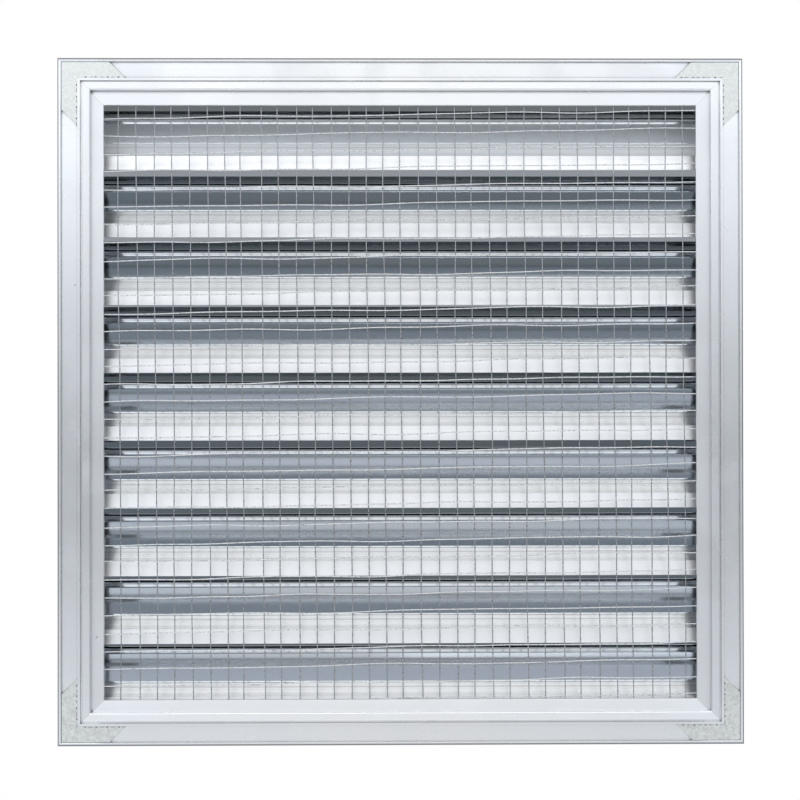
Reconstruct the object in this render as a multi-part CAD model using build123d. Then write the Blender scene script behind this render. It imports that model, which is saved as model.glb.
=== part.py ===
from build123d import *
import os

os.makedirs("parts", exist_ok=True)

# Fixed-blade wall vent of extruded aluminium, with a bird mesh behind the blades.
# X runs across the vent, Y from the weather side (-) to the wall side (+), Z is up.
# The origin is the middle of the vent, in the plane where its flange meets the wall.
# All sizes are in millimetres.

# Frame, outside
frame_width = 518.0
frame_height = 519.0
channel_depth = 26.0
wall = 1.8
outer_wall = 2.8
lip_round = 0.8

# Flange on the wall side, with the groove that takes the corner plates
groove_depth = 2.2
groove_width = 12.2
rib_width = 1.9
flange_width = 26.8

# Neck that goes into the wall, with the folded rim at its end
neck_depth = 51.0
rim_width = 6.0
rim_lip = 5.0
rim_wall = 1.6
rim_outer_round = 0.4
rim_inner_round = 1.2

# Ledge inside the neck that the mesh lies on
ledge_width = 9.2
ledge_wall = 1.4
ledge_setback = 9.6

# Blades
blade_pitch = 50.0
blade_sheet = 1.6
drip_depth = 23.0
drip_drop = 2.2
port_depth = 7.5
port_rise = 10.7
port_ring = 4.0
port_slot = 1.1
port_slot_angle = 120.0
crease_depth = 22.4
crease_rise = 30.8
crease_round = 1.1
crease_sink = 0.7
crease_angle = -46.0
shoulder_depth = 29.2
shoulder_rise = 41.1
blade_rear = 31.2
blade_height = 51.5
blade_end_play = 0.3
blade_neck_play = 0.5
blade_top_play = 2.0

# Blade screws
screw_shank = 3.4
screw_length = 14.0
screw_head = 5.2
screw_head_height = 0.7
screw_head_bevel = 0.5
screw_play = 0.1

# Corner plates
plate_leg = 36.0
plate_sheet = 1.5
plate_play = 0.2

# Mesh and the strips that hold it down, which lie under the rim and have settled a little to one side
mesh_pitch = 13.0
mesh_wire = 0.9
mesh_play = 0.5
strip_width = 12.4
strip_height = 2.6
strip_round = 0.4
strip_play = 1.2
strip_settle_x = -0.4
strip_settle_z = 0.9

# Number of flat sides that stand for the round of a thin wire or a small screw
side_count = 8

# Places worked out from the sizes above
half_width = frame_width / 2
half_height = frame_height / 2
neck_in = flange_width + wall
neck_half_width = half_width - neck_in
neck_half_height = half_height - neck_in
rim_in = flange_width + rim_width
plate_floor = -groove_depth - wall
ledge_depth = neck_depth - ledge_setback
mesh_front = ledge_depth
strip_front = mesh_front + 2 * mesh_wire
strip_out = neck_in + strip_play
strip_in = strip_out + strip_width
blade_count = int((2 * neck_half_height - blade_top_play - (blade_height - blade_pitch)) / blade_pitch)
first_drip = neck_half_height - blade_top_play - blade_height - (blade_count - 1) * blade_pitch
drip_heights = [first_drip + row * blade_pitch for row in range(blade_count)]


def mitred(section, length, reach):
    """Bar with 45 degree ends: section X runs inwards from the outer edge, the bar runs along Z."""
    bar = extrude(section, length / 2, dir=(0, 0, 1), both=True)
    corners = [
        (0, -length / 2),
        (reach, reach - length / 2),
        (reach, length / 2 - reach),
        (0, length / 2),
    ]
    depth = bar.bounding_box()
    outline = Plane.XZ.offset(-depth.max.Y) * make_face(Polyline(*corners, close=True))
    return bar & extrude(outline, depth.size.Y)


def around(section, reach):
    """The four bars of a mitred frame, by side."""
    tall = mitred(section, frame_height, reach)
    wide = mitred(section, frame_width, reach)
    return {
        "left": Pos(-half_width, 0, 0) * tall,
        "right": Pos(half_width, 0, 0) * Rot(0, 180, 0) * tall,
        "top": Pos(0, 0, half_height) * Rot(0, 90, 0) * wide,
        "bottom": Pos(0, 0, -half_height) * Rot(0, -90, 0) * wide,
    }


def rail_section():
    """Frame extrusion: front border, outer wall, flange with groove, neck, ledge and folded rim."""
    groove_end = outer_wall + groove_width
    rib_end = groove_end + rib_width
    outline = Polyline(
        (neck_in, -channel_depth),
        (0, -channel_depth),
        (0, 0),
        (outer_wall, 0),
        (outer_wall, -groove_depth),
        (groove_end, -groove_depth),
        (groove_end, 0),
        (rib_end, 0),
        (rib_end, -groove_depth),
        (flange_width, -groove_depth),
        (flange_width, neck_depth),
        (rim_in, neck_depth),
        (rim_in, neck_depth - rim_lip),
        (rim_in - rim_wall, neck_depth - rim_lip),
        (rim_in - rim_wall, neck_depth - rim_wall),
        (neck_in, neck_depth - rim_wall),
        (neck_in, ledge_depth),
        (neck_in + ledge_width, ledge_depth),
        (neck_in + ledge_width, ledge_depth - ledge_wall),
        (neck_in, ledge_depth - ledge_wall),
        (neck_in, plate_floor),
        (outer_wall, plate_floor),
        (outer_wall, wall - channel_depth),
        (neck_in, wall - channel_depth),
        close=True,
    )
    section = make_face(outline)
    rim_outer, rim_inner = section.vertices().group_by(Axis.Y)[-1].sort_by(Axis.X)
    section = fillet(rim_outer, rim_outer_round)
    section = fillet(section.vertices().sort_by_distance(rim_inner)[0], rim_inner_round)
    lip_edges = [v for v in section.vertices() if v.Y == 0 and v.X <= outer_wall]
    return fillet(lip_edges, lip_round)


def strip_section():
    """Strip that holds the mesh down: a flat bar with its inner edge rounded."""
    middle = Pos(strip_out + strip_width / 2, strip_front + strip_height / 2)
    section = middle * Rectangle(strip_width, strip_height)
    inner_edge = section.vertices().sort_by(lambda v: v.X + v.Y)[-1]
    return fillet(inner_edge, strip_round)


def blade_section():
    """Blade seen from its end: drip lip, sheet with a creased bend, upstand, and the slotted screw port."""
    rear_face = Polyline(
        (blade_sheet - drip_depth, 0),
        (blade_sheet - drip_depth, drip_drop),
        (-port_depth, port_rise - blade_sheet / 2),
        (crease_depth, crease_rise),
        (shoulder_depth, shoulder_rise),
        (blade_rear, blade_height),
    )
    sheet = make_face(offset(rear_face, blade_sheet, kind=Kind.INTERSECTION, side=Side.LEFT))
    port = Pos(-port_depth, port_rise)
    bend = Pos(crease_depth, crease_rise) * Rot(0, 0, crease_angle)
    crease = bend * Pos(crease_round - crease_sink, 0) * Circle(crease_round)
    slot = Rot(0, 0, port_slot_angle) * Pos(port_ring, 0) * Rectangle(2 * port_ring, port_slot)
    bore = Circle(screw_shank / 2 + screw_play)
    return sheet + port * Circle(port_ring) - crease - port * bore - port * slot


def blade_bar():
    """Blade cut to reach the outer walls at its nose, and notched to pass inside the neck behind it."""
    full_length = frame_width - 2 * (outer_wall + blade_end_play)
    neck_length = 2 * (neck_half_width - blade_neck_play)
    bar = Plane.YZ * extrude(blade_section(), full_length / 2, both=True)
    notch_front = plate_floor - blade_neck_play
    notch_length = (full_length - neck_length) / 2
    notch = Box(notch_length, 2 * blade_rear, 2 * blade_height, align=(Align.MIN, Align.MIN, Align.CENTER))
    right_notch = Pos(neck_length / 2, notch_front, blade_height / 2) * notch
    return bar - right_notch - mirror(right_notch, Plane.YZ)


def screw():
    """Screw with its sloped head seated at x = 0, and a flat-sided shank along -X in place of a thread."""
    shank = extrude(RegularPolygon(screw_shank / 2, side_count), -screw_length)
    head = extrude(RegularPolygon(screw_head / 2, side_count), screw_head_height)
    head = chamfer(head.edges().group_by(Axis.Z)[-1], screw_head_bevel)
    return Rot(0, 90, 0) * (shank + head)


def corner_plate(side, level):
    """Flat L-shaped plate in the groove of two rails; side and level are -1 or +1."""
    outer = outer_wall + plate_play
    inner = outer_wall + groove_width - plate_play
    tip = outer + plate_leg
    heel = tip + inner - outer
    offsets = [(outer, outer), (tip, outer), (heel, inner), (inner, inner), (inner, heel), (outer, tip)]
    corners = [(side * (half_width - a), level * (half_height - b)) for a, b in offsets]
    outline = Plane.XZ.offset(groove_depth) * make_face(Polyline(*corners, close=True))
    return extrude(outline, plate_sheet, dir=(0, 1, 0))


def mesh_wires():
    """Two layers of straight wires, upright ones in front and level ones lying on them."""
    reach_x = half_width - rim_in - mesh_play
    reach_z = half_height - rim_in - mesh_play
    columns = int((reach_x - mesh_wire) / mesh_pitch)
    rows = int((reach_z - mesh_wire) / mesh_pitch)
    wire = Rot(0, 0, 180 / side_count) * RegularPolygon(mesh_wire / 2, side_count, major_radius=False)
    upright = extrude(wire, reach_z, both=True)
    level = Rot(0, 90, 0) * extrude(wire, reach_x, both=True)
    front = mesh_front + mesh_wire / 2
    wires = [Pos(i * mesh_pitch, front, 0) * upright for i in range(-columns, columns + 1)]
    wires += [Pos(0, front + mesh_wire, i * mesh_pitch) * level for i in range(-rows, rows + 1)]
    return Compound(children=wires)


pieces = {}

screw_places = [(-port_depth, height + port_rise) for height in drip_heights]
rails = around(rail_section(), neck_in + ledge_width)
for side in ("left", "right"):
    sign = 1 if side == "right" else -1
    for y, z in screw_places:
        drill = Rot(0, 90, 0) * Cylinder(screw_shank / 2 + screw_play, 2 * screw_length)
        rails[side] = rails[side] - Pos(sign * half_width, y, z) * drill
for side, rail in rails.items():
    pieces["frame_" + side] = rail

for level, row in ((1, "top"), (-1, "bottom")):
    for sign, side in ((-1, "left"), (1, "right")):
        pieces["corner_plate_" + row + "_" + side] = corner_plate(sign, level)

blade = blade_bar()
for number, height in enumerate(drip_heights, start=1):
    pieces["blade_" + str(number)] = Pos(0, 0, height) * blade

right_screw = screw()
left_screw = Rot(0, 180, 0) * right_screw
right_screws = [Pos(half_width, y, z) * right_screw for y, z in screw_places]
left_screws = [Pos(-half_width, y, z) * left_screw for y, z in screw_places]
pieces["blade_screws_right"] = Compound(children=right_screws)
pieces["blade_screws_left"] = Compound(children=left_screws)

pieces["bird_mesh"] = mesh_wires()

settled = Pos(strip_settle_x, 0, strip_settle_z)
for side, strip in around(strip_section(), strip_in).items():
    pieces["mesh_strip_" + side] = settled * strip

for name, piece in pieces.items():
    export_step(piece, "parts/" + name + ".step")
    print(name, round(piece.volume), "cubic mm")
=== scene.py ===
# %% [markdown]
# # A wall vent of extruded aluminium, seen from the wall side
# The vent is a square frame of four mitred extrusions, nine fixed blades, and a bird mesh that is
# held down by four strips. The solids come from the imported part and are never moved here. This
# script gives them their finishes, makes the pieces that need more shape than the solids have,
# and sets up the studio. Lengths are in metres: X runs across the vent, +Y points into the wall,
# and Z is up.

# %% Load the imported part
import math
import random

import bmesh
import bpy
from mathutils import Matrix, Vector


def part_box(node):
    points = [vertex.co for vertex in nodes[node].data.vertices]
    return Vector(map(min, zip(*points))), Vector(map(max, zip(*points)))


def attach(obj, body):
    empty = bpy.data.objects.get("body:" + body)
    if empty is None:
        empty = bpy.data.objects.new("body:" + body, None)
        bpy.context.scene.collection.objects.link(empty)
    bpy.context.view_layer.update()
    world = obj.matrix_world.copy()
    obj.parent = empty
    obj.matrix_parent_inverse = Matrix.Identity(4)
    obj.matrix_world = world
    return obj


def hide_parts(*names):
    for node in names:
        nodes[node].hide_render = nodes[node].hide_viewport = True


MM = 0.001
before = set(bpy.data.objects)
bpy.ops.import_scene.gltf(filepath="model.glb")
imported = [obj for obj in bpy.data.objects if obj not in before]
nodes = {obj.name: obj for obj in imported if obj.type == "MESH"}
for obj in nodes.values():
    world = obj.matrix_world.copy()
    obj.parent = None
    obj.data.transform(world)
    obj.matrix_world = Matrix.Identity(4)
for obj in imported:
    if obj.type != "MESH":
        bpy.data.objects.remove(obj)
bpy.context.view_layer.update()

# %% [markdown]
# ## Camera
# The photograph looks at the wall side along -Y, nearly square on, and the vent stands on its head
# in it. A camera that is rolled by half a turn gives the same picture while the vent stays the
# right way up in its own frame. The long lens and the distance were worked out together, from how
# much larger the rim looks than the flange 51 mm behind it. The small shift of the lens is there
# because the vent isn't quite in the middle of the picture.

# %% Camera
camera_place = Vector((-0.0021, 1.4600, 0.0116))
camera_target = Vector((0.0171, 0.0, 0.0019))
camera_roll = math.radians(179.91)
camera_shift = (-0.0297, 0.0047)
sensor_width = 36.0
focal_length = 86.98
nearest, farthest = 0.01, 50.0

camera_data = bpy.data.cameras.new("camera")
camera_data.sensor_width = sensor_width
camera_data.lens = focal_length
camera_data.shift_x, camera_data.shift_y = camera_shift
camera_data.clip_start, camera_data.clip_end = nearest, farthest
camera = bpy.data.objects.new("camera", camera_data)
bpy.context.scene.collection.objects.link(camera)
look = (camera_target - camera_place).to_track_quat("-Z", "Y").to_matrix()
rolled = look @ Matrix.Rotation(camera_roll, 3, "Z")
camera.matrix_world = Matrix.Translation(camera_place) @ rolled.to_4x4()
bpy.context.scene.camera = camera
bpy.context.scene.view_settings.view_transform = "Standard"
print("camera", round((camera_target - camera_place).length, 3), "m away")


# %% [markdown]
# ## Small helpers for shader nodes
# Every finish below is a tree of nodes. A few helpers keep that readable: one adds a node with its
# options and inputs, and the others add the kinds that are needed most, such as a sum, a smooth
# step, a mix of two colours and a colour ramp.

# %% Node helpers
def add_node(tree, kind, inputs=None, **options):
    """One node with its options and inputs set. An input that is given a socket is linked to it."""
    made = tree.nodes.new(kind)
    for name, value in options.items():
        setattr(made, name, value)
    for key, value in (inputs or {}).items():
        if isinstance(value, bpy.types.NodeSocket):
            tree.links.new(value, made.inputs[key])
        else:
            made.inputs[key].default_value = value
    return made


def sum_of(tree, operation, first, second=0.0, third=0.0, clamp=False):
    """The result of a Math node."""
    inputs = {0: first, 1: second, 2: third}
    made = add_node(tree, "ShaderNodeMath", inputs, operation=operation, use_clamp=clamp)
    return made.outputs["Value"]


def vector_sum(tree, operation, *inputs):
    """A Vector Math node. Some operations put out a vector, others a value."""
    return add_node(tree, "ShaderNodeVectorMath", dict(enumerate(inputs)), operation=operation).outputs


def ranged(tree, value, low, high, start=0.0, end=1.0, shape="LINEAR"):
    """A step, straight unless shape says otherwise: start where value is at low, end at high."""
    inputs = {"Value": value, "From Min": low, "From Max": high, "To Min": start, "To Max": end}
    made = add_node(tree, "ShaderNodeMapRange", inputs, interpolation_type=shape)
    return made.outputs["Result"]


def between(tree, value, low, high, start=0.0, end=1.0):
    """A smooth step: start where value is at low, end where it is at high."""
    return ranged(tree, value, low, high, start, end, "SMOOTHSTEP")


def blend(tree, share, first, second):
    """Two colours mixed by share. A plain colour is given as three numbers."""
    inputs = {"Factor": share}
    for key, colour in (("A", first), ("B", second)):
        inputs[key] = colour if isinstance(colour, bpy.types.NodeSocket) else [*colour, 1.0]
    return add_node(tree, "ShaderNodeMix", inputs, data_type="RGBA").outputs["Result"]


def layered(tree, tone, layers):
    """A tone with layers on it. Each has a mask, the share that it covers there, and a colour."""
    for mask, cover, colour in layers:
        tone = blend(tree, sum_of(tree, "MULTIPLY", mask, cover), tone, colour)
    return tone


def tone_ramp(tree, value, tones):
    """A colour ramp over value, from pairs of a position and a colour."""
    ramp = add_node(tree, "ShaderNodeValToRGB", {"Fac": value})
    stops = ramp.color_ramp.elements
    while len(stops) < len(tones):
        stops.new(1.0)
    for stop, (position, colour) in zip(stops, tones):
        stop.position = position
        stop.color = [*colour, 1.0]
    return ramp.outputs["Color"]


def shaded(colour, factor):
    """A plain colour made darker or lighter."""
    return [factor * part for part in colour]


print("node helpers ready")

# %% [markdown]
# ## White world
# The background of the photograph is pure white. A white world gives that to the camera, and to
# the rays that metal and glass send out. For all other rays it is a plain grey, so that a white
# background never means more light on the vent.

# %% White world
plain_grey = (0.6, 0.6, 0.6, 1.0)
pure_white = (1.0, 1.0, 1.0, 1.0)

world = bpy.data.worlds.new("white_world")
bpy.context.scene.world = world
world.use_nodes = True
tree = world.node_tree
tree.nodes.clear()
plain = add_node(tree, "ShaderNodeBackground", {"Color": plain_grey})
white = add_node(tree, "ShaderNodeBackground", {"Color": pure_white})
rays = add_node(tree, "ShaderNodeLightPath").outputs
shown = sum_of(tree, "MAXIMUM", rays["Is Camera Ray"], rays["Is Transmission Ray"])
shown = sum_of(tree, "MAXIMUM", shown, rays["Is Glossy Ray"])
backdrops = {0: shown, 1: plain.outputs[0], 2: white.outputs[0]}
mixed = add_node(tree, "ShaderNodeMixShader", backdrops)
add_node(tree, "ShaderNodeOutputWorld", {"Surface": mixed.outputs[0]})
print("world of", plain_grey[:3], "that shows as", pure_white[:3])

# %% [markdown]
# ## Light tent
# Bare metal has hardly a colour of its own: what it mirrors is most of its look. So the tones of
# the studio are hung round the vent on a light tent, a large glowing sphere that the camera doesn't
# see. Lamps could do this too, but a ramp of tones is easier to match to what each face mirrors.
# The tones change with the angle round the X axis: 0 degrees is behind the camera, 90 is below the
# vent, 180 is in front of its weather side, and -90 is above it. It is bright below and above, dull
# round the camera, and dark in front, low down. To the sides it gets dimmer and a little bluer.

# %% Light tent
tent_radius = 5.0
tent_segments, tent_rings = 48, 24
cool = (0.88, 1.0, 1.07)
warm = (0.99, 1.0, 1.01)
tent_tones = [
    (-180, 0.45, warm),
    (-168, 0.58, warm),
    (-162, 0.80, warm),
    (-150, 0.80, warm),
    (-100, 0.85, warm),
    (-60, 1.00, warm),
    (-30, 1.02, warm),
    (-13, 1.00, warm),
    (-9, 0.94, warm),
    (-6, 0.47, warm),
    (-3, 0.34, warm),
    (1, 0.57, warm),
    (6, 0.93, warm),
    (12, 1.52, warm),
    (20, 1.45, warm),
    (28, 1.58, warm),
    (36, 1.90, warm),
    (70, 1.85, warm),
    (84, 1.70, warm),
    (93, 0.80, cool),
    (102, 0.66, cool),
    (109, 0.42, cool),
    (112.5, 0.19, cool),
    (120, 0.15, cool),
    (126, 0.09, cool),
    (136, 0.08, cool),
    (148, 0.26, cool),
    (168, 0.34, cool),
    (180, 0.45, cool),
]
dim_from, dim_to, dim_tone = 0.40 * tent_radius, 0.95 * tent_radius, 0.55
lean_from, lean_to, lean_tone = -0.15 * tent_radius, 0.25 * tent_radius, 0.93
blue_from, blue_to = 0.06 * tent_radius, 0.24 * tent_radius
no_tint, side_tint = (1.0, 1.0, 1.0), (0.95, 1.0, 1.06)

bpy.ops.mesh.primitive_uv_sphere_add(
    segments=tent_segments, ring_count=tent_rings, radius=tent_radius
)
tent = bpy.context.object
tent.name = "light_tent"
tent.visible_camera = False
tent.visible_shadow = False
print("tent of radius", tent_radius)

# %% Tent cloth
cloth = bpy.data.materials.new("tent_cloth")
cloth.use_nodes = True
cloth.cycles.emission_sampling = "NONE"
tree = cloth.node_tree
place = add_node(tree, "ShaderNodeTexCoord").outputs["Object"]
axes = add_node(tree, "ShaderNodeSeparateXYZ", {0: place}).outputs
below = sum_of(tree, "MULTIPLY", axes["Z"], -1.0)
angle = sum_of(tree, "ARCTAN2", below, axes["Y"])
turn = ranged(tree, angle, -math.pi, math.pi)
stops = [((degrees + 180) / 360, shaded(tint, tone)) for degrees, tone, tint in tent_tones]
tones = tone_ramp(tree, turn, stops)
aside = sum_of(tree, "ABSOLUTE", axes["X"])
dim = between(tree, aside, dim_from, dim_to, 1.0, dim_tone)
lean = between(tree, axes["X"], lean_from, lean_to, 1.0, lean_tone)
tint = blend(tree, between(tree, aside, blue_from, blue_to), no_tint, side_tint)
tones = vector_sum(tree, "MULTIPLY", tones, tint)["Vector"]
light = {"Color": tones, "Strength": sum_of(tree, "MULTIPLY", dim, lean)}
glow = add_node(tree, "ShaderNodeEmission", light)
tree.links.new(glow.outputs[0], tree.nodes["Material Output"].inputs["Surface"])
tent.data.materials.append(cloth)
print("tent cloth of", len(tent_tones), "tones")

# %% [markdown]
# ## Floor
# A pale floor lies well below the vent. It fades to white towards its edge, so that it has no rim
# against the white world, and it is white for the rays that the metal sends out, so that the metal
# shows the same background as the picture.

# %% Floor
floor_level = -0.95
floor_middle = 0.55
floor_reach = 0.75
floor_sides = 96
floor_colour = (0.80, 0.80, 0.80, 1.0)
floor_roughness = 0.9
floor_gloss = 0.1
fade_from, fade_to = 0.4 * floor_reach, 0.98 * floor_reach

bpy.ops.mesh.primitive_circle_add(
    vertices=floor_sides,
    radius=floor_reach,
    fill_type="NGON",
    location=(0, floor_middle, floor_level),
)
floor = bpy.context.object
floor.name = "floor"
floor_paint = bpy.data.materials.new("pale_floor")
floor_paint.use_nodes = True
tree = floor_paint.node_tree
paint = tree.nodes["Principled BSDF"]
paint.inputs["Base Color"].default_value = floor_colour
paint.inputs["Roughness"].default_value = floor_roughness
paint.inputs["Specular IOR Level"].default_value = floor_gloss
place = add_node(tree, "ShaderNodeTexCoord").outputs["Object"]
fade = between(tree, vector_sum(tree, "LENGTH", place)["Value"], fade_from, fade_to)
rays = add_node(tree, "ShaderNodeLightPath").outputs
fade = sum_of(tree, "MAXIMUM", fade, rays["Is Glossy Ray"])
fade = sum_of(tree, "MAXIMUM", fade, rays["Is Transmission Ray"])
glow = add_node(tree, "ShaderNodeEmission", {"Color": pure_white, "Strength": 1.0})
faded = add_node(tree, "ShaderNodeMixShader", {0: fade, 1: paint.outputs[0], 2: glow.outputs[0]})
tree.links.new(faded.outputs[0], tree.nodes["Material Output"].inputs["Surface"])
floor.data.materials.append(floor_paint)
print("floor at", floor_level)

# %% [markdown]
# ## Grey card
# The slits between the blades are blue grey in the photograph, not white. A card on the weather
# side, far enough away to be hidden behind the vent, gives them that tone, and the polished slopes
# of the blades mirror it too. Its tones run from its lower edge (0) to its upper edge (1).

# %% Grey card
card_distance = 3.0
card_width = 1.5
card_tones = [
    (0.00, (0.13, 0.14, 0.15)),
    (0.06, (0.16, 0.17, 0.18)),
    (0.12, (0.28, 0.30, 0.33)),
    (0.50, (0.28, 0.30, 0.33)),
    (0.60, (0.21, 0.24, 0.27)),
    (0.80, (0.21, 0.24, 0.27)),
    (0.84, (0.55, 0.58, 0.64)),
    (0.93, (0.72, 0.75, 0.81)),
    (1.00, (0.76, 0.79, 0.85)),
]

bpy.ops.mesh.primitive_grid_add(
    x_subdivisions=1,
    y_subdivisions=1,
    size=card_width,
    location=(0, -card_distance, 0),
    rotation=(math.pi / 2, 0, 0),
)
card = bpy.context.object
card.name = "grey_card"
card_paint = bpy.data.materials.new("grey_card")
card_paint.use_nodes = True
tree = card_paint.node_tree
place = add_node(tree, "ShaderNodeTexCoord").outputs["Generated"]
height = add_node(tree, "ShaderNodeSeparateXYZ", {0: place}).outputs["Y"]
glow = add_node(tree, "ShaderNodeEmission", {"Color": tone_ramp(tree, height, card_tones)})
tree.links.new(glow.outputs[0], tree.nodes["Material Output"].inputs["Surface"])
card.data.materials.append(card_paint)
print("card at", -card_distance)

# %% [markdown]
# ## Lamp
# One soft lamp stands high in front of the vent. It hardly shows in the photograph's view, and it
# lights the weather side for the other views. Its power follows from its size, so that a radiance
# of 1 is as bright as white paper.

# %% Lamp
lamp_place = Vector((0.7, -2.3, 1.5))
lamp_aim = Vector((0.0, 0.0, 0.0))
lamp_width, lamp_height = 1.6, 1.0
lamp_radiance = 0.9

lamp_data = bpy.data.lights.new("lamp_front", "AREA")
lamp_data.shape = "RECTANGLE"
lamp_data.size, lamp_data.size_y = lamp_width, lamp_height
lamp_data.energy = lamp_radiance * math.pi * lamp_width * lamp_height
lamp = bpy.data.objects.new("lamp_front", lamp_data)
bpy.context.scene.collection.objects.link(lamp)
lamp_turn = (lamp_aim - lamp_place).to_track_quat("-Z", "Y").to_matrix()
lamp.matrix_world = Matrix.Translation(lamp_place) @ lamp_turn.to_4x4()
print("lamp_front", round(lamp_data.energy, 2), "W")


# %% [markdown]
# ## Shared effects
# Several finishes share the same marks: lines left by the die, cloudy marks, dirt, saw cuts and
# specks. Each is a node group with named sockets, so that a finish can place it with its own
# values.

# %% Group helpers
def new_group(name, inputs, outputs):
    """An empty node group with named sockets, and its input and output sockets."""
    group = bpy.data.node_groups.new(name, "ShaderNodeTree")
    for socket_name, value in inputs.items():
        kind = "NodeSocketVector" if value is None else "NodeSocketFloat"
        made = group.interface.new_socket(socket_name, in_out="INPUT", socket_type=kind)
        if value is not None:
            made.default_value = value
    for socket_name in outputs:
        group.interface.new_socket(socket_name, in_out="OUTPUT", socket_type="NodeSocketFloat")
    given = group.nodes.new("NodeGroupInput").outputs
    return group, given, group.nodes.new("NodeGroupOutput").inputs


def place_group(tree, group, output, **inputs):
    """One output of a node group that is placed in a material with these inputs."""
    return add_node(tree, "ShaderNodeGroup", inputs, node_tree=group).outputs[output]


print("group helpers ready")

# %% [markdown]
# ### Drawn lines
# A die leaves fine lines along an extrusion. A noise gives them, once its coordinates are stretched
# along the piece. More contrast makes fewer and stronger lines.

# %% Drawn lines
lines_group, given, made = new_group(
    "drawn_lines", {"Vector": None, "Scale": 500.0, "Contrast": 1.0}, ["Lines"]
)
noise = {"Vector": given["Vector"], "Scale": given["Scale"], "Detail": 4.0, "Roughness": 0.7}
spread = add_node(lines_group, "ShaderNodeTexNoise", noise).outputs["Fac"]
spread = sum_of(lines_group, "SUBTRACT", spread, 0.5)
spread = sum_of(lines_group, "MULTIPLY_ADD", spread, given["Contrast"], 0.5, clamp=True)
lines_group.links.new(spread, made["Lines"])
print("group", lines_group.name)

# %% [markdown]
# ### Cloudy marks
# Hands and cloths leave pale clouds with soft edges on bare aluminium. A slow, warped noise, cut off
# low and high, has that look.

# %% Cloudy marks
cloud_low, cloud_high = 0.42, 0.72

cloud_group, given, made = new_group("cloudy_marks", {"Vector": None, "Scale": 14.0}, ["Cloud"])
noise = {"Vector": given["Vector"], "Scale": given["Scale"], "Detail": 4.0}
noise |= {"Roughness": 0.55, "Distortion": 0.4}
cloud = add_node(cloud_group, "ShaderNodeTexNoise", noise).outputs["Fac"]
cloud_group.links.new(between(cloud_group, cloud, cloud_low, cloud_high), made["Cloud"])
print("group", cloud_group.name)

# %% [markdown]
# ### Corner dirt and painted shade
# Corners that are closed in are darkened, as dirt and painted shade. How open a place is comes from
# the material, as ambient occlusion: below the given reach the darkening begins, and in the deepest
# corners it is full. A noise makes it patchy.

# %% Corner dirt and painted shade
deepest = 0.32
patch_low, patch_high = 0.2, 0.6
thinnest, thickest = 0.7, 1.0

sockets = {"Vector": None, "Openness": 1.0, "Reach": 0.7}
dirt_shade_group, given, made = new_group("corner_dirt_and_shade", sockets, ["Dirt And Shade"])
noise = {"Vector": given["Vector"], "Scale": 60.0, "Detail": 3.0}
patchy = add_node(dirt_shade_group, "ShaderNodeTexNoise", noise).outputs["Fac"]
patchy = between(dirt_shade_group, patchy, patch_low, patch_high, thinnest, thickest)
deep = ranged(dirt_shade_group, given["Openness"], given["Reach"], deepest)
dirt_shade_group.links.new(sum_of(dirt_shade_group, "MULTIPLY", deep, patchy, clamp=True), made["Dirt And Shade"])
print("group", dirt_shade_group.name)

# %% [markdown]
# ### Saw cuts and outer edge
# Two mitred bars meet in a thin dark line across the corner, where the distances from both sides
# are equal. The rounded outer edge of the frame mirrors the dark room beside it, and that reflection
# is painted on as a thin dark line. Both follow from the place on the piece, measured from the middle
# of the frame.

# %% Saw cuts and outer edge
edge_steepness = 3.0

sockets = {"Vector": None, "Offset": 0.0, "Width": 0.3 * MM}
cut_group, given, made = new_group("saw_cut", sockets, ["Cut"])
axes = add_node(cut_group, "ShaderNodeSeparateXYZ", {0: given["Vector"]}).outputs
aside = sum_of(cut_group, "ABSOLUTE", axes["X"])
above = sum_of(cut_group, "ABSOLUTE", axes["Z"])
across = sum_of(cut_group, "ADD", sum_of(cut_group, "SUBTRACT", aside, above), given["Offset"])
across = sum_of(cut_group, "ABSOLUTE", across)
cut_group.links.new(ranged(cut_group, across, 0.0, given["Width"], 1.0, 0.0), made["Cut"])

sockets = {"Vector": None, "Half Width": 1.0, "Half Height": 1.0, "Width": 0.75 * MM}
edge_group, given, made = new_group("outer_edge", sockets, ["Edge"])
axes = add_node(edge_group, "ShaderNodeSeparateXYZ", {0: given["Vector"]}).outputs
aside = sum_of(edge_group, "ABSOLUTE", axes["X"])
above = sum_of(edge_group, "ABSOLUTE", axes["Z"])
from_side = sum_of(edge_group, "SUBTRACT", given["Half Width"], aside)
from_end = sum_of(edge_group, "SUBTRACT", given["Half Height"], above)
inside = sum_of(edge_group, "MINIMUM", from_side, from_end)
edge = ranged(edge_group, inside, given["Width"], 0.0, 0.0, edge_steepness)
edge_group.links.new(sum_of(edge_group, "MINIMUM", edge, 1.0), made["Edge"])
print("groups", cut_group.name, "and", edge_group.name)

# %% [markdown]
# ### Specks
# Single specks of dirt or sealant lie here and there. Each cell of a cell texture has a middle and
# a random colour: the middles become specks, and only the few cells whose red is above the given
# rarity keep theirs.

# %% Specks
speck_edge, speck_core = 0.05, 0.025

sockets = {"Vector": None, "Scale": 60.0, "Rarity": 0.9}
speck_group, given, made = new_group("specks", sockets, ["Speck"])
cells = {"Vector": given["Vector"], "Scale": given["Scale"]}
cells = add_node(speck_group, "ShaderNodeTexVoronoi", cells).outputs
chosen = add_node(speck_group, "ShaderNodeSeparateColor", {0: cells["Color"]}).outputs[0]
chosen = sum_of(speck_group, "GREATER_THAN", chosen, given["Rarity"])
near = between(speck_group, cells["Distance"], speck_edge, speck_core)
speck_group.links.new(sum_of(speck_group, "MULTIPLY", near, chosen), made["Speck"])
print("group", speck_group.name)


# %% [markdown]
# ## Aluminium
# Mill-finish aluminium is a bare metal: its colour is a cool pale grey and its gloss is soft. The
# die lines run along each piece, so the noise is stretched along that direction only. They spread a
# highlight sideways, which the shader's anisotropy gives. The tangent has to lie across the lines,
# and a radial tangent round the axis of the lines does that on every face.

# %% Metal helpers
line_stretch = 0.001
line_depth = 0.02 * MM


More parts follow.
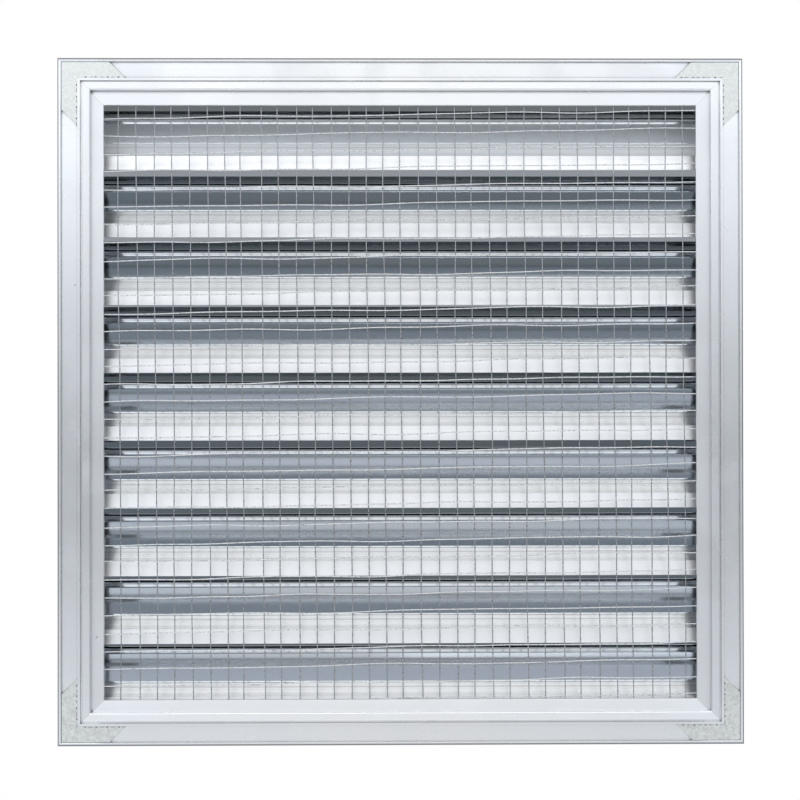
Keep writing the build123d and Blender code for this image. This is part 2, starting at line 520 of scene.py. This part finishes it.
def start_material(name):
    """A new material, its node tree and its Principled shader."""
    material = bpy.data.materials.new(name)
    material.use_nodes = True
    return material, material.node_tree, material.node_tree.nodes["Principled BSDF"]


def stretched(tree, place, run):
    """Coordinates in which a noise becomes lines along the axis named by run."""
    stretch = [1.0, 1.0, 1.0]
    stretch["XYZ".index(run)] = line_stretch
    made = add_node(tree, "ShaderNodeMapping", {"Vector": place, "Scale": stretch})
    return made.outputs["Vector"]


def lined_metal(shader, tree, run, lines, relief, roughness, anisotropy):
    """Settings that all drawn metal shares: gloss, bump and the direction of its lines."""
    heights = {"Height": lines, "Strength": relief, "Distance": line_depth}
    bump = add_node(tree, "ShaderNodeBump", heights)
    tree.links.new(bump.outputs["Normal"], shader.inputs["Normal"])
    tangent = add_node(tree, "ShaderNodeTangent", direction_type="RADIAL", axis=run)
    tree.links.new(tangent.outputs["Tangent"], shader.inputs["Tangent"])
    tree.links.new(roughness, shader.inputs["Roughness"])
    shader.inputs["Anisotropic"].default_value = anisotropy
    shader.inputs["Metallic"].default_value = 1.0


def dress(names, material):
    """Gives the named solids this material in place of their plain one."""
    for name in names:
        mesh = nodes[name].data
        mesh.materials.clear()
        mesh.materials.append(material)


print("metal helpers ready")

# %% [markdown]
# ## Frame and strips
# The four bars of the frame and the four strips that hold the mesh are the same pale metal. Their
# corners are darkened by dirt and painted shade, which is left off the faces that look to the middle
# of the vent. The rim of the neck and the strips stand nearer to the camera than the flange, and they
# get a painted light and shade of their own, lighter at top and bottom and darker at the sides. Saw
# cuts show at the mitres, and specks and clouds are laid over all of it. Each bar gets its own
# material, because its lines run its own way and its painted shade differs from side to side.

# %% Rail finish
pale_metal = (0.82, 0.825, 0.835)
line_shade = 0.96
rail_lines = {"Scale": 900.0, "Contrast": 1.2}
rail_specks = {"Scale": 45.0, "Rarity": 0.86}
rail_cloud_scale = 16.0
rail_relief = 0.06
rail_anisotropy = 0.5
cloud_roughening = 0.08
saw_width = 0.45 * MM
neck_from, neck_to = 30 * MM, 40 * MM
inner_face, outer_face = -100 * MM, -50 * MM
dirt_shade_samples = 8
cloud_cover, cloud_tone = 0.06, (0.90, 0.905, 0.91)
cut_cover, cut_tone = 0.25, (0.16, 0.16, 0.17)
edge_cover, edge_tone = 0.85, (0.15, 0.15, 0.16)
speck_cover, speck_tone = 0.5, (0.25, 0.24, 0.23)
# Tone of the corner dirt and painted shade.
dirt_shade_tone = (0.13, 0.13, 0.135)


def dirt_shade_mask(tree, place, centred, reach, distance):
    """Mask of the corner dirt and painted shade, left out where a face looks to the middle of the
    vent.
    """
    found = add_node(
        tree, "ShaderNodeAmbientOcclusion", {"Distance": distance}, samples=dirt_shade_samples
    )
    corner = {"Vector": place, "Openness": found.outputs["AO"], "Reach": reach}
    # dirt is the mask of corner dirt and painted shade alike.
    dirt = place_group(tree, dirt_shade_group, "Dirt And Shade", **corner)
    normal = add_node(tree, "ShaderNodeNewGeometry").outputs["Normal"]
    outward = vector_sum(tree, "DOT_PRODUCT", centred, normal)["Value"]
    return sum_of(tree, "MULTIPLY", dirt, between(tree, outward, inner_face, outer_face))


def rail_metal(name, run, middle, half_size, roughness, dirt_shade, painted_rim_shade, edge_width):
    """Aluminium of a bar along run. Its corner dirt and painted shade reach as far as the given
    openness and distance, and its rim has a painted light and shade of its own.
    """
    material, tree, shader = start_material(name)
    place = add_node(tree, "ShaderNodeTexCoord").outputs["Object"]
    depth = add_node(tree, "ShaderNodeSeparateXYZ", {0: place}).outputs["Y"]
    centred = vector_sum(tree, "SUBTRACT", place, middle)["Vector"]
    along = stretched(tree, place, run)
    lines = place_group(tree, lines_group, "Lines", Vector=along, **rail_lines)
    cloud = place_group(tree, cloud_group, "Cloud", Vector=place, Scale=rail_cloud_scale)
    speck = place_group(tree, speck_group, "Speck", Vector=place, **rail_specks)
    mitre = {"Vector": centred, "Offset": half_size.z - half_size.x, "Width": saw_width}
    cut = place_group(tree, cut_group, "Cut", **mitre)
    outline = {"Half Width": half_size.x, "Half Height": half_size.z, "Width": edge_width}
    edge = place_group(tree, edge_group, "Edge", Vector=centred, **outline)
    layers = [
        # Painted light and shade on the rim of the neck and on the strips, set side by side.
        (between(tree, depth, neck_from, neck_to), 1.0, shaded(pale_metal, painted_rim_shade)),
        (cloud, cloud_cover, cloud_tone),
        (cut, cut_cover, cut_tone),
        # Painted reflection of the dark room on the rounded outer edge.
        (edge, edge_cover, edge_tone),
        (speck, speck_cover, speck_tone),
        # Corners darkened by dirt and painted shade.
        (dirt_shade_mask(tree, place, centred, *dirt_shade), 1.0, dirt_shade_tone),
    ]
    tone = blend(tree, lines, shaded(pale_metal, line_shade), pale_metal)
    tree.links.new(layered(tree, tone, layers), shader.inputs["Base Color"])
    gloss = ranged(tree, cloud, 0.0, 1.0, roughness, roughness + cloud_roughening)
    lined_metal(shader, tree, run, lines, rail_relief, gloss, rail_anisotropy)
    return material


print("rail finish of", pale_metal)

# %% Dress the frame and the strips
sides = ("left", "right", "top", "bottom")
# How far the corner dirt and painted shade reach on each side.
dirt_shade_reach = {
    "frame": {"left": 0.66, "right": 0.64, "top": 0.56, "bottom": 0.80},
    "mesh_strip": {"left": 0.46, "right": 0.34, "top": 0.34, "bottom": 0.74},
}
dirt_shade_distance = {"frame": 9.0 * MM, "mesh_strip": 3.5 * MM}
rail_roughness = {"frame": 0.25, "mesh_strip": 0.29}
# Painted light and shade of the rim and strips on each side: above 1 lighter, below 1 darker.
painted_rim_shades = {"left": 0.94, "right": 0.94, "top": 1.09, "bottom": 1.02}
edge_widths = {"left": 1.0 * MM, "right": 1.0 * MM, "top": 1.5 * MM, "bottom": 1.5 * MM}


def spread_of(prefix):
    """Middle and half size of a mitred frame, from the boxes of its four bars."""
    boxes = [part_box(prefix + side) for side in sides]
    low = Vector([min(box[0][i] for box in boxes) for i in range(3)])
    high = Vector([max(box[1][i] for box in boxes) for i in range(3)])
    middle = (low + high) / 2
    return Vector((middle.x, 0, middle.z)), (high - low) / 2


for finish in ("frame", "mesh_strip"):
    middle, half_size = spread_of(finish + "_")
    for side in sides:
        run = "Z" if side in ("left", "right") else "X"
        name = finish + "_" + side
        dirt_shade = (dirt_shade_reach[finish][side], dirt_shade_distance[finish])
        looks = (rail_roughness[finish], dirt_shade, painted_rim_shades[side], edge_widths[side])
        dress([name], rail_metal("aluminium_" + name, run, middle, half_size, *looks))
    print(finish, "middle", middle, "half size", half_size)

# %% [markdown]
# ## Blades
# All nine blades came out of one die, so each has the same lines in the same places. The height is
# wrapped at the blade pitch before it reaches the noise, which repeats the lines from blade to
# blade. A blade is smooth on its slope and streaked on its bend. Its slope has a painted bluish
# reflection, its bend a painted highlight and its upstand a painted shade, and these parts are told
# apart by their depth. The drip lip and the line under the screw port are painted dark as shade, and
# a few pale specks of old sealant lie on the blades. The downward faces of the lowest blade are
# painted lighter: there the metal gives way to a near-white, non-metallic finish that stands in
# for light.

# %% Places on a blade
blade_names = [name for name in nodes if name.startswith("blade_") and "screws" not in name]
blade_low, blade_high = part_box("blade_1")
blade_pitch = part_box("blade_2")[0].z - blade_low.z
bend_depth = blade_high.y - 8.8 * MM
shoulder_depth = blade_high.y - 2.0 * MM
port_depth = blade_low.y + 16.0 * MM
port_foot = blade_low.z + 8.3 * MM
bend_range = (bend_depth - 1.0 * MM, bend_depth + 0.4 * MM)
upstand_range = (shoulder_depth - 0.3 * MM, shoulder_depth + 0.1 * MM)
drip_range = (blade_low.y + 2.3 * MM, blade_low.y + 1.8 * MM)
port_half_line = 0.65 * MM
port_half_depth = 3.5 * MM
print(len(blade_names), "blades at a pitch of", round(blade_pitch, 4))

# %% Blade finish
# Tones of the three parts of a blade: the brighter bend is a painted highlight, the duller upstand a
# painted shade, and the blue of the slope a painted reflection.
painted_light_colours = {
    "slope": (0.79, 0.82, 0.85),
    "bend": (0.92, 0.94, 0.965),
    "upstand": (0.74, 0.74, 0.745),
}
# Near-white tones of the lowest blade, painted light.
whitened_colours = {
    "slope": (0.94, 0.97, 0.99),
    "bend": (0.97, 0.98, 0.99),
    "upstand": (0.92, 0.92, 0.92),
}
wide_lines = {"Scale": 620.0, "Contrast": 3.0}
fine_lines = {"Scale": 1500.0, "Contrast": 1.2}
blade_specks = {"Scale": 55.0, "Rarity": 0.92}
# Painted shade of the drip lip.
drip_shade_tone = (0.20, 0.22, 0.23)
fine_cover, fine_tone = 0.06, (0.3, 0.3, 0.3)
streak_cover, streak_tone = 0.30, (0.10, 0.10, 0.10)
sealant_tone = (0.92, 0.92, 0.90)
# Painted shadow of the line under the screw port.
port_shade_tone = (0.01, 0.01, 0.01)
slope_roughness = 0.10
bend_roughening, upstand_roughening, port_roughening = 0.12, 0.14, 0.8
blade_relief = 0.01
# Faces that look further down than these get the near-white finish of painted light.
whitened_from, whitened_to = -0.2, 0.0


def blade_metal(name, colours, whitened):
    """Aluminium of the blades. With the last argument set, it is bare metal only on its upstand and
    upper faces, and its other faces are near white, as painted light.
    """
    material, tree, shader = start_material(name)
    place = add_node(tree, "ShaderNodeTexCoord").outputs["Object"]
    axes = add_node(tree, "ShaderNodeSeparateXYZ", {0: place}).outputs
    height = sum_of(tree, "WRAP", axes["Z"], blade_low.z + blade_pitch, blade_low.z)
    repeated = {"X": axes["X"], "Y": axes["Y"], "Z": height}
    repeated = add_node(tree, "ShaderNodeCombineXYZ", repeated).outputs["Vector"]
    along = stretched(tree, repeated, "X")
    wide = place_group(tree, lines_group, "Lines", Vector=along, **wide_lines)
    fine = place_group(tree, lines_group, "Lines", Vector=along, **fine_lines)
    speck = place_group(tree, speck_group, "Speck", Vector=place, **blade_specks)
    rear = between(tree, axes["Y"], *bend_range)
    upstand = between(tree, axes["Y"], *upstand_range)
    bend = sum_of(tree, "SUBTRACT", rear, upstand)
    drip = between(tree, axes["Y"], *drip_range)
    at_port = sum_of(tree, "COMPARE", axes["Y"], port_depth, port_half_depth)
    port_line = sum_of(tree, "COMPARE", height, port_foot, port_half_line)
    port_line = sum_of(tree, "MULTIPLY", port_line, at_port)
    streaks = sum_of(tree, "MULTIPLY", sum_of(tree, "SUBTRACT", 1.0, wide), bend)
    layers = [
        (upstand, 1.0, colours["upstand"]),
        # Painted shade on the drip lip.
        (drip, 1.0, drip_shade_tone),
        (sum_of(tree, "SUBTRACT", 1.0, fine), fine_cover, fine_tone),
        (streaks, streak_cover, streak_tone),
        (speck, 1.0, sealant_tone),
        # Painted shadow in a thin line under the screw port.
        (port_line, 1.0, port_shade_tone),
    ]
    # The bend is brighter than the slope, a painted highlight.
    tone = blend(tree, rear, colours["slope"], colours["bend"])
    tree.links.new(layered(tree, tone, layers), shader.inputs["Base Color"])
    gloss = sum_of(tree, "MULTIPLY_ADD", upstand, upstand_roughening, slope_roughness)
    gloss = sum_of(tree, "MULTIPLY_ADD", rear, bend_roughening, gloss)
    gloss = sum_of(tree, "MULTIPLY_ADD", port_line, port_roughening, gloss)
    lined_metal(shader, tree, "X", fine, blade_relief, gloss, 0.0)
    # On the lowest blade, downward faces lose their metal and turn near white, as painted light.
    if whitened:
        facing = add_node(tree, "ShaderNodeNewGeometry").outputs["Normal"]
        facing = add_node(tree, "ShaderNodeSeparateXYZ", {0: facing}).outputs["Z"]
        bare = sum_of(tree, "MAXIMUM", between(tree, facing, whitened_from, whitened_to), upstand)
        tree.links.new(bare, shader.inputs["Metallic"])
    return material


dress(blade_names, blade_metal("aluminium_blade", painted_light_colours, False))
dress(["blade_1"], blade_metal("whitened_blade", whitened_colours, True))
# The lowest blade is painted lighter.
print("chalky painted_light on blade_1 only")

# %% [markdown]
# ## Galvanised corner plates
# The plates are zinc-coated sheet. The zinc freezes in flat crystals of a millimetre or two, each
# with its own gloss, so a cell texture gives every crystal a tone. A noise bends the cells, because
# straight-edged ones look like a mosaic. The wires and screws below have the same coating with
# smaller cells and more brownish dirt.

# %% Spangle
warp_noise = {"Scale": 240.0, "Detail": 2.0}
warp_reach = (0.003, 0.003, 0.003)
patch_noise = {"Scale": 90.0, "Detail": 5.0}
dull_from, dull_to = 0.56, 0.72
dull_tone = (0.27, 0.25, 0.23)
spangle_shade = 0.80
spangle_roughening = 0.14


def galvanised(name, colour, roughness, cell_scale, dull):
    """Zinc-coated metal with spangle. dull is how strongly brownish dirt covers it in patches."""
    material, tree, shader = start_material(name)
    place = add_node(tree, "ShaderNodeTexCoord").outputs["Object"]
    warp = add_node(tree, "ShaderNodeTexNoise", {"Vector": place, **warp_noise}).outputs["Color"]
    bent = vector_sum(tree, "MULTIPLY_ADD", warp, warp_reach, place)["Vector"]
    cells = add_node(tree, "ShaderNodeTexVoronoi", {"Vector": bent, "Scale": cell_scale})
    shade = add_node(tree, "ShaderNodeSeparateColor", {0: cells.outputs["Color"]}).outputs[0]
    patch = add_node(tree, "ShaderNodeTexNoise", {"Vector": place, **patch_noise}).outputs["Fac"]
    patch = between(tree, patch, dull_from, dull_to, 0.0, dull)
    tone = blend(tree, shade, shaded(colour, spangle_shade), colour)
    tree.links.new(blend(tree, patch, tone, dull_tone), shader.inputs["Base Color"])
    gloss = ranged(tree, shade, 0.0, 1.0, roughness, roughness + spangle_roughening)
    tree.links.new(gloss, shader.inputs["Roughness"])
    shader.inputs["Metallic"].default_value = 1.0
    return material


plate_names = [name for name in nodes if name.startswith("corner_plate")]
plate_zinc = galvanised(
    "galvanised_plate", colour=(0.80, 0.805, 0.775), roughness=0.27, cell_scale=560.0, dull=0.14
)
dress(plate_names, plate_zinc)
print(len(plate_names), "corner plates")


# %% [markdown]
# ## Pieces made here
# Pieces that need more shape than the solids have are built point by point, as bmeshes. They all
# become part of the vent in the same way: with outward normals, their materials and the root body
# to ride on.

# %% Piece helpers
def rings_joined(mesh, rings):
    """Makes the faces between rings of corners and a face at each end, and gives both kinds."""
    faces = []
    for low, high in zip(rings, rings[1:]):
        for k in range(len(low)):
            after = (k + 1) % len(low)
            faces.append(mesh.faces.new((low[k], low[after], high[after], high[k])))
    return faces, [mesh.faces.new(rings[0]), mesh.faces.new(rings[-1])]


def mesh_piece(name, mesh, materials):
    """Turns a bmesh into a piece of the vent that rides on it."""
    bmesh.ops.recalc_face_normals(mesh, faces=mesh.faces)
    data = bpy.data.meshes.new(name)
    mesh.to_mesh(data)
    mesh.free()
    for material in materials:
        data.materials.append(material)
    piece = bpy.data.objects.new(name, data)
    bpy.context.scene.collection.objects.link(piece)
    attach(piece, "root")
    print(name, len(data.polygons), "faces")
    return piece


print("piece helpers ready")

# %% [markdown]
# ## Bird mesh
# The solid mesh has straight wires. The real one is welded from springy wire, so its wires lean,
# wander by a millimetre or so, and the level ones slope across the vent. Each wire is a thin tube
# swept along points that a sum of slow waves pushes aside. The level wires lie on top and get a
# lighter tone as painted light, and the upright ones under them a darker tone as painted shade.

# %% Wire shapes
mesh_low, mesh_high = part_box("bird_mesh")
wire_layer = (mesh_high.y - mesh_low.y) / 2
wire_radius = 0.46 * wire_layer
wire_sides = 8
wire_steps = 60
wave_count = 3
wave_shortening = 1.3
wave_spread = (0.8, 1.3)
inwards = Vector((0, 1, 0))


def wander(chance, size, longest):
    """A smooth, seeded wandering: the sum of a few waves of falling length and size."""
    waves = []
    for k in range(wave_count):
        length = longest / (k + wave_shortening) * chance.uniform(*wave_spread)
        waves.append((size / (k + 1), length, chance.uniform(0, math.tau)))
    return lambda s: sum(a * math.sin(math.tau * s / length + turn) for a, length, turn in waves)


def wire(mesh, start, end, place_at, finish):
    """A round wire through the places that place_at gives from start to end, with that finish."""
    points = [place_at(start + (end - start) * k / wire_steps) for k in range(wire_steps + 1)]
    rings = []
    for i, point in enumerate(points):
        forward = (points[min(i + 1, wire_steps)] - points[max(i - 1, 0)]).normalized()
        side = forward.cross(inwards).normalized()
        up = side.cross(forward)
        ring = []
        for k in range(wire_sides):
            angle = math.tau * k / wire_sides
            outward = math.cos(angle) * side + math.sin(angle) * up
            ring.append(mesh.verts.new(point + wire_radius * outward))
        rings.append(ring)
    round_faces, end_faces = rings_joined(mesh, rings)
    for face in round_faces:
        face.smooth = True
    for face in round_faces + end_faces:
        face.material_index = finish


print("wires of radius", round(wire_radius, 5))

# %% Bird mesh
wires_aside = 16
upright_pitch, level_pitch = 12.95 * MM, 13.0 * MM
upright_phase, level_phase = 1.2 * MM, -2.2 * MM
upright_jitter, level_jitter = 0.7, 0.3
upright_lean, level_slope = 0.0058, -0.0146
upright_wander = (0.35 * MM, 0.4)
level_wander = (0.5 * MM, 0.25)
upright_y = mesh_low.y + wire_layer / 2
level_y = mesh_high.y - wire_layer / 2


def upright_path(x, drift):
    """Where an upright wire runs that crosses the middle of the vent at x."""
    return lambda z: Vector((x + upright_lean * z + drift(z), upright_y, z))


def level_path(z, drift):
    """Where a level wire runs that crosses the middle of the vent at z."""
    return lambda x: Vector((x, level_y, z + level_slope * x + drift(x)))


chance = random.Random(7)
wires = bmesh.new()
for i in range(-wires_aside, wires_aside + 1):
    middle = i * upright_pitch + upright_phase + chance.gauss(0, upright_jitter) * MM
    path = upright_path(middle, wander(chance, *upright_wander))
    wire(wires, mesh_low.z, mesh_high.z, path, 0)
for i in range(-wires_aside - 1, wires_aside + 2):
    middle = i * level_pitch + level_phase + chance.gauss(0, level_jitter) * MM
    path = level_path(middle, wander(chance, *level_wander))
    wire(wires, mesh_low.x, mesh_high.x, path, 1)

# The upright wires are darker, a painted shade.
shaded_upright_zinc = galvanised(
    "galvanised_upright_wire", colour=(0.49, 0.50, 0.51), roughness=0.24, cell_scale=900.0, dull=0.40
)
# The level wires are lighter, a painted light.
lit_level_zinc = galvanised(
    "galvanised_level_wire", colour=(0.82, 0.83, 0.84), roughness=0.22, cell_scale=900.0, dull=0.45
)
bird_mesh = mesh_piece("bird_mesh_wires", wires, [shaded_upright_zinc, lit_level_zinc])
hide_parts("bird_mesh")

# %% [markdown]
# ## Screws
# The solids have flat-sided screws. These have the same head, seat and length, but they are round,
# with a domed head and a cross pressed into it. A screw is made of rings round its axis, each given
# by its radius and its height over the seat in millimetres, and the corners on top of the head dip
# where the cross is.

# %% Screw shape
screw_sides = 40
cross_reach = 1.5 * MM
cross_arm = 0.32 * MM
cross_sink = 0.4 * MM
cross_floor = 0.6
screw_rings = [
    (1.1, -14.0),
    (1.7, -13.2),
    (1.7, 0.0),
    (2.55, 0.0),
    (2.55, 0.2),
    (2.2, 0.5),
    (1.7, 0.65),
    (1.5, 0.69),
    (1.2, 0.7),
    (0.9, 0.7),
    (0.6, 0.7),
    (0.3, 0.7),
]


def screw(mesh, seat, outward):
    """A screw with its head seated at seat, pointing outward along X (+1 or -1)."""
    rings = []
    for radius, height in screw_rings:
        on_top = height > cross_floor and radius * MM < cross_reach
        ring = []
        for k in range(screw_sides):
            angle = math.tau * k / screw_sides
            y, z = radius * MM * math.cos(angle), radius * MM * math.sin(angle)
            sink = cross_sink if on_top and min(abs(y), abs(z)) < cross_arm else 0
            ring.append(mesh.verts.new(seat + Vector((outward * (height * MM - sink), y, z))))
        rings.append(ring)
    rings_joined(mesh, rings)


print("screw of", len(screw_rings), "rings")

# %% Screws
screw_zinc = galvanised(
    "zinc_screw", colour=(0.42, 0.42, 0.43), roughness=0.36, cell_scale=1500.0, dull=0.3
)
frame_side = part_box("frame_top")[1].x
screw_low, screw_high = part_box("blade_screws_right")
screw_y = (screw_low.y + screw_high.y) / 2
first_screw = screw_low.z + (screw_high.y - screw_low.y) / 2
for side, outward in (("left", -1), ("right", 1)):
    screws = bmesh.new()
    for k in range(len(blade_names)):
        seat = Vector((outward * frame_side, screw_y, first_screw + k * blade_pitch))
        screw(screws, seat, outward)
    piece = mesh_piece("screws_" + side, screws, [screw_zinc])
    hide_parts("blade_screws_" + side)

# %% [markdown]
# ## Crimp marks
# The corner plates are held by dents that were struck beside the rib, four to a leg, with thin
# scratches between. Each is a small oval with a raised edge that lies on the plate, against the
# rib. They are too small to cut into the solids, so they are laid on as flat rings, whose dark colour
# is painted shade in the dents and scratches.

# %% Dent shape
dent_sides = 12
dent_shape = ((1.0, -0.3), (0.8, 1.0), (0.5, 0.2))


def dent(mesh, middle, along, length, width, height):
    """A small oval dent with a raised edge, on a face that looks to +Y."""
    aside = inwards.cross(along)
    rings = []
    for reach, rise in dent_shape:
        ring = []
        for k in range(dent_sides):
            angle = math.tau * k / dent_sides
            flat = along * (math.cos(angle) * length / 2) + aside * (math.sin(angle) * width / 2)
            ring.append(mesh.verts.new(middle + reach * flat + inwards * (rise * height)))
        rings.append(ring)
    rings_joined(mesh, rings)


print("dent of", len(dent_shape), "rings")

# %% Crimp marks
leg_width = 11.8 * MM
dents_per_leg = 4
dent_first = 17.7 * MM
dent_pitch = 8.4 * MM
dent_jitter = 0.4
dent_inset = 0.5 * MM
dent_size = (1.7 * MM, 0.9 * MM, 0.25 * MM)
scratch_gap = (3.0, 5.0)
scratch_length = (2.0, 4.5)
scratch_section = (0.4 * MM, 0.12 * MM)
across_x, across_z = Vector((1, 0, 0)), Vector((0, 0, 1))

chance = random.Random(11)
marks = bmesh.new()
for level in ("top", "bottom"):
    for side in ("left", "right"):
        plate_low, plate_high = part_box("corner_plate_" + level + "_" + side)
        inward = Vector((1 if side == "left" else -1, 0, 1 if level == "bottom" else -1))
        corner = Vector((plate_low.x if side == "left" else plate_high.x, plate_high.y, 0))
        corner.z = plate_low.z if level == "bottom" else plate_high.z
        for along, across in ((across_x, across_z), (across_z, across_x)):
            for k in range(dents_per_leg):
                jitter = chance.uniform(-dent_jitter, dent_jitter) * MM
                reach = along * (dent_first + k * dent_pitch + jitter)
                spot = corner + inward * (reach + across * (leg_width - dent_inset))
                dent(marks, spot, along, *dent_size)
                scratch = spot + along * chance.uniform(*scratch_gap) * MM
                length = chance.uniform(*scratch_length) * MM
                dent(marks, scratch, along, length, *scratch_section)

# Dark colour of the dents and scratches, painted shade.
crimp_shade_zinc = galvanised(
    "crimp_painted_shade", colour=(0.26, 0.26, 0.26), roughness=0.45, cell_scale=1500.0, dull=0.2
)
mesh_piece("crimp_marks", marks, [crimp_shade_zinc])
